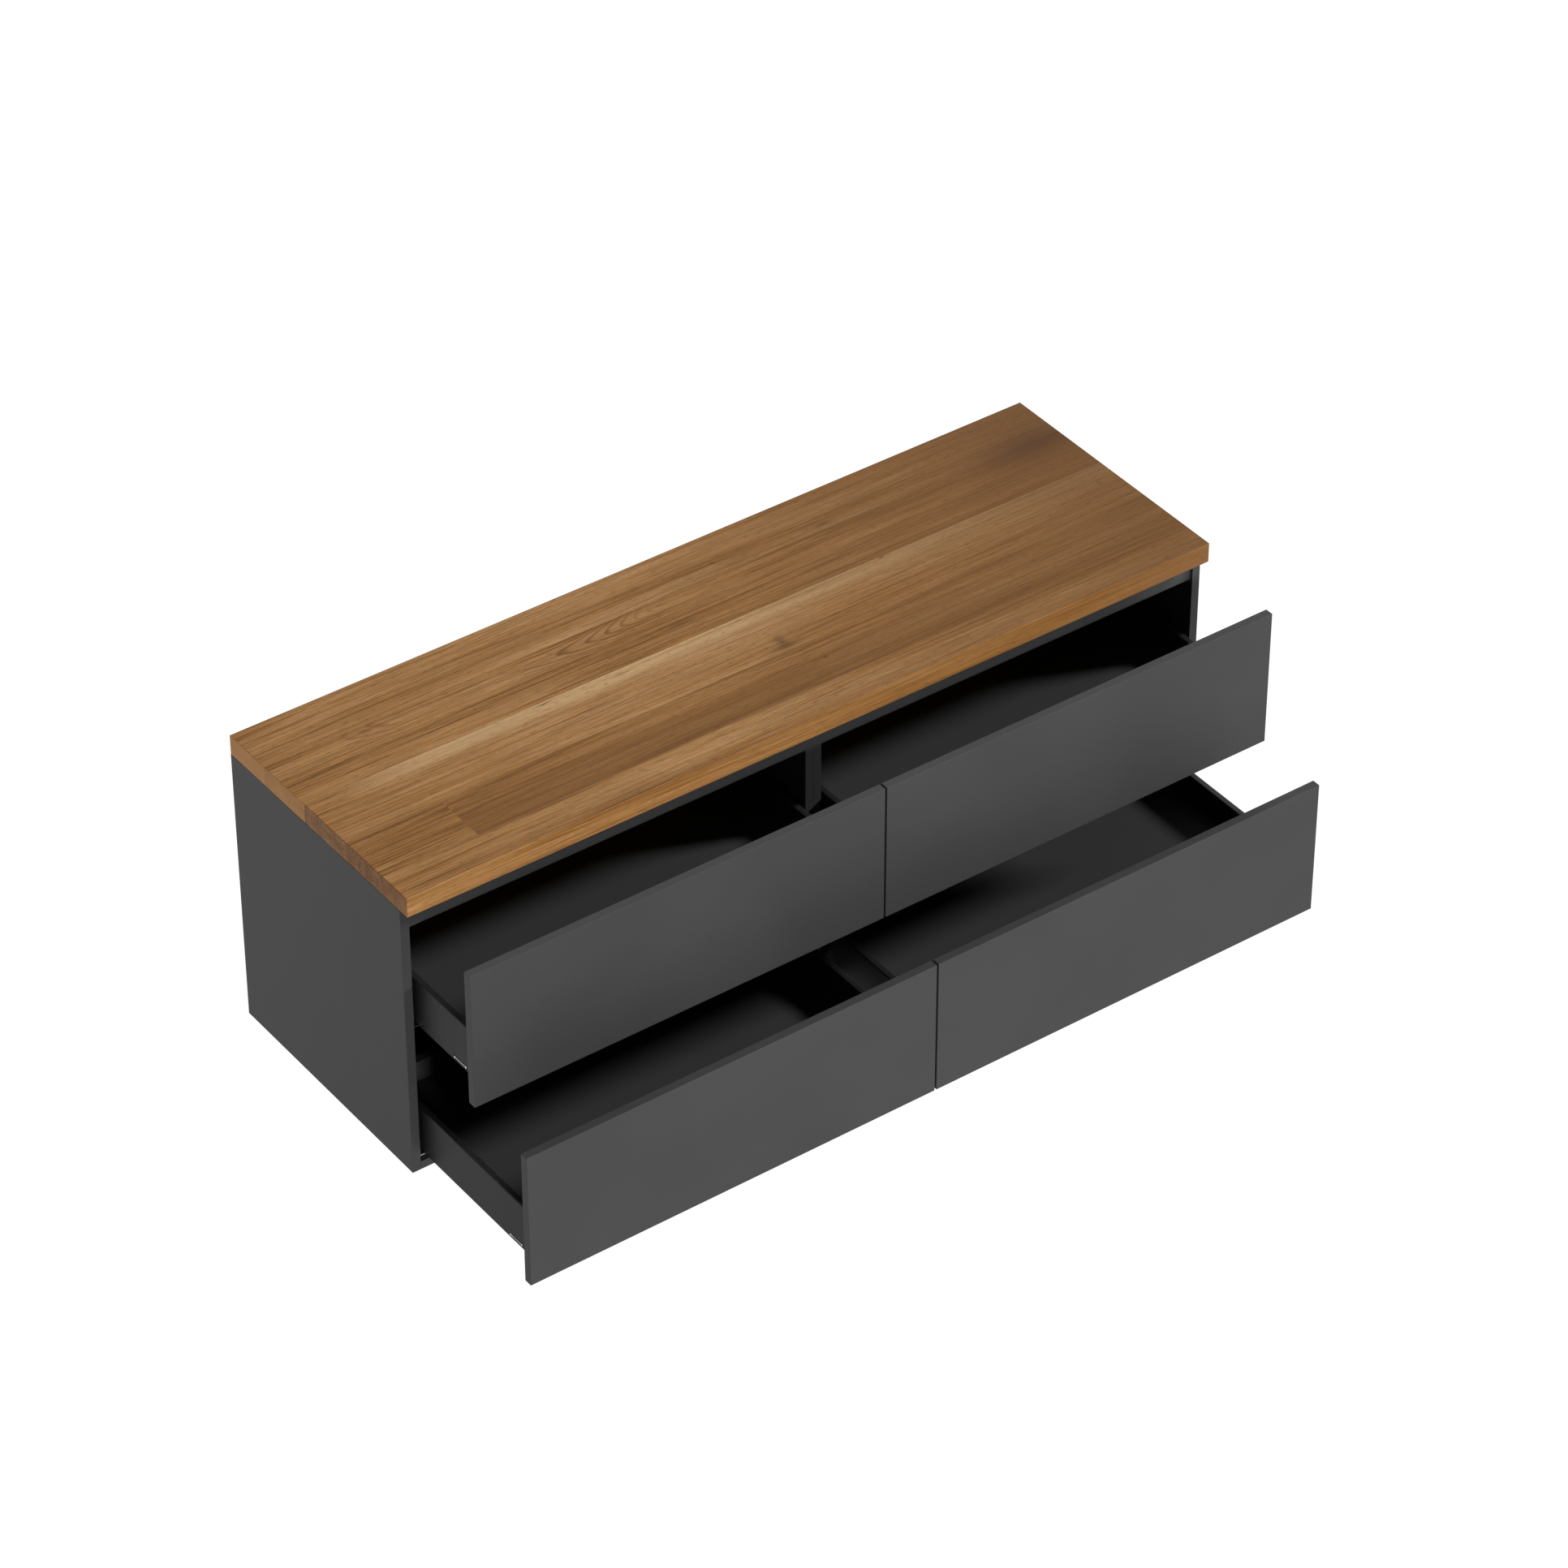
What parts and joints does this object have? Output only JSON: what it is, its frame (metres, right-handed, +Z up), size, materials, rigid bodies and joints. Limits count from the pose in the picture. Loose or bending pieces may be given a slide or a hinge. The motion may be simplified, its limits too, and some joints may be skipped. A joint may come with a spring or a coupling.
{
  "type": "bathroom vanity cabinet",
  "caption": "Wide wall-hung bathroom vanity with a solid wood worktop and two rows of handle-less drawers on concealed runners, standing partly open.",
  "frame": {"origin": "on the wall plane, in the middle of the hanging rail's back face", "axes": "+X to the right as seen from the room, +Y into the wall, +Z up; the drawers slide out along -Y"},
  "size_m": [1.6, 0.828, 0.58],
  "materials": {
    "oiled_wood": "oiled, satin, open grain",
    "lacquered_board": "matt anthracite lacquer on board",
    "drawer_board": "fine-textured dark melamine on board",
    "drawer_steel": "matt anthracite powder coat",
    "zinc_steel": "bright zinc plate"
  },
  "bodies": {
    "carcass": {"worktop": "oiled_wood", "side_panel_left": "lacquered_board", "side_panel_right": "lacquered_board", "bottom_panel": "lacquered_board", "front_rail": "lacquered_board", "hanging_rail": "lacquered_board", "lower_back_rail": "lacquered_board", "divider_left": "lacquered_board", "divider_right": "lacquered_board", "upper_left_cabinet_rail_l": "zinc_steel", "upper_left_cabinet_rail_r": "zinc_steel", "upper_right_cabinet_rail_l": "zinc_steel", "upper_right_cabinet_rail_r": "zinc_steel", "lower_left_cabinet_rail_l": "zinc_steel", "lower_left_cabinet_rail_r": "zinc_steel", "lower_right_cabinet_rail_l": "zinc_steel", "lower_right_cabinet_rail_r": "zinc_steel"},
    "upper_left_drawer": {"upper_left_front": "lacquered_board", "upper_left_base": "drawer_board", "upper_left_back": "drawer_board", "upper_left_side_l": "drawer_steel", "upper_left_side_r": "drawer_steel", "upper_left_drawer_rail_l": "zinc_steel", "upper_left_drawer_rail_r": "zinc_steel"},
    "upper_left_middle_l": {"upper_left_middle_rail_l": "zinc_steel"},
    "upper_left_middle_r": {"upper_left_middle_rail_r": "zinc_steel"},
    "upper_right_drawer": {"upper_right_front": "lacquered_board", "upper_right_base": "drawer_board", "upper_right_back": "drawer_board", "upper_right_side_l": "drawer_steel", "upper_right_side_r": "drawer_steel", "upper_right_drawer_rail_l": "zinc_steel", "upper_right_drawer_rail_r": "zinc_steel"},
    "upper_right_middle_l": {"upper_right_middle_rail_l": "zinc_steel"},
    "upper_right_middle_r": {"upper_right_middle_rail_r": "zinc_steel"},
    "lower_left_drawer": {"lower_left_front": "lacquered_board", "lower_left_base": "drawer_board", "lower_left_back": "drawer_board", "lower_left_side_l": "drawer_steel", "lower_left_side_r": "drawer_steel", "lower_left_drawer_rail_l": "zinc_steel", "lower_left_drawer_rail_r": "zinc_steel"},
    "lower_left_middle_l": {"lower_left_middle_rail_l": "zinc_steel"},
    "lower_left_middle_r": {"lower_left_middle_rail_r": "zinc_steel"},
    "lower_right_drawer": {"lower_right_front": "lacquered_board", "lower_right_base": "drawer_board", "lower_right_back": "drawer_board", "lower_right_side_l": "drawer_steel", "lower_right_side_r": "drawer_steel", "lower_right_drawer_rail_l": "zinc_steel", "lower_right_drawer_rail_r": "zinc_steel"},
    "lower_right_middle_l": {"lower_right_middle_rail_l": "zinc_steel"},
    "lower_right_middle_r": {"lower_right_middle_rail_r": "zinc_steel"}
  },
  "joints": [
    {"name": "upper_left_slide", "type": "slide", "parent": "carcass", "child": "upper_left_drawer", "axis": [0, -1, 0], "range_m": [-0.173, 0.267]},
    {"name": "upper_left_middle_slide_l", "type": "slide", "parent": "carcass", "child": "upper_left_middle_l", "axis": [0, -1, 0], "range_m": [-0.0865, 0.1335]},
    {"name": "upper_left_middle_slide_r", "type": "slide", "parent": "carcass", "child": "upper_left_middle_r", "axis": [0, -1, 0], "range_m": [-0.0865, 0.1335]},
    {"name": "upper_right_slide", "type": "slide", "parent": "carcass", "child": "upper_right_drawer", "axis": [0, -1, 0], "range_m": [-0.173, 0.267]},
    {"name": "upper_right_middle_slide_l", "type": "slide", "parent": "carcass", "child": "upper_right_middle_l", "axis": [0, -1, 0], "range_m": [-0.0865, 0.1335]},
    {"name": "upper_right_middle_slide_r", "type": "slide", "parent": "carcass", "child": "upper_right_middle_r", "axis": [0, -1, 0], "range_m": [-0.0865, 0.1335]},
    {"name": "lower_left_slide", "type": "slide", "parent": "carcass", "child": "lower_left_drawer", "axis": [0, -1, 0], "range_m": [-0.316, 0.124]},
    {"name": "lower_left_middle_slide_l", "type": "slide", "parent": "carcass", "child": "lower_left_middle_l", "axis": [0, -1, 0], "range_m": [-0.158, 0.062]},
    {"name": "lower_left_middle_slide_r", "type": "slide", "parent": "carcass", "child": "lower_left_middle_r", "axis": [0, -1, 0], "range_m": [-0.158, 0.062]},
    {"name": "lower_right_slide", "type": "slide", "parent": "carcass", "child": "lower_right_drawer", "axis": [0, -1, 0], "range_m": [-0.316, 0.124]},
    {"name": "lower_right_middle_slide_l", "type": "slide", "parent": "carcass", "child": "lower_right_middle_l", "axis": [0, -1, 0], "range_m": [-0.158, 0.062]},
    {"name": "lower_right_middle_slide_r", "type": "slide", "parent": "carcass", "child": "lower_right_middle_r", "axis": [0, -1, 0], "range_m": [-0.158, 0.062]}
  ],
  "couplings": [
    {"joint": "upper_left_middle_slide_l", "follows": "upper_left_slide", "ratio": 0.5},
    {"joint": "upper_left_middle_slide_r", "follows": "upper_left_slide", "ratio": 0.5},
    {"joint": "upper_right_middle_slide_l", "follows": "upper_right_slide", "ratio": 0.5},
    {"joint": "upper_right_middle_slide_r", "follows": "upper_right_slide", "ratio": 0.5},
    {"joint": "lower_left_middle_slide_l", "follows": "lower_left_slide", "ratio": 0.5},
    {"joint": "lower_left_middle_slide_r", "follows": "lower_left_slide", "ratio": 0.5},
    {"joint": "lower_right_middle_slide_l", "follows": "lower_right_slide", "ratio": 0.5},
    {"joint": "lower_right_middle_slide_r", "follows": "lower_right_slide", "ratio": 0.5}
  ]
}
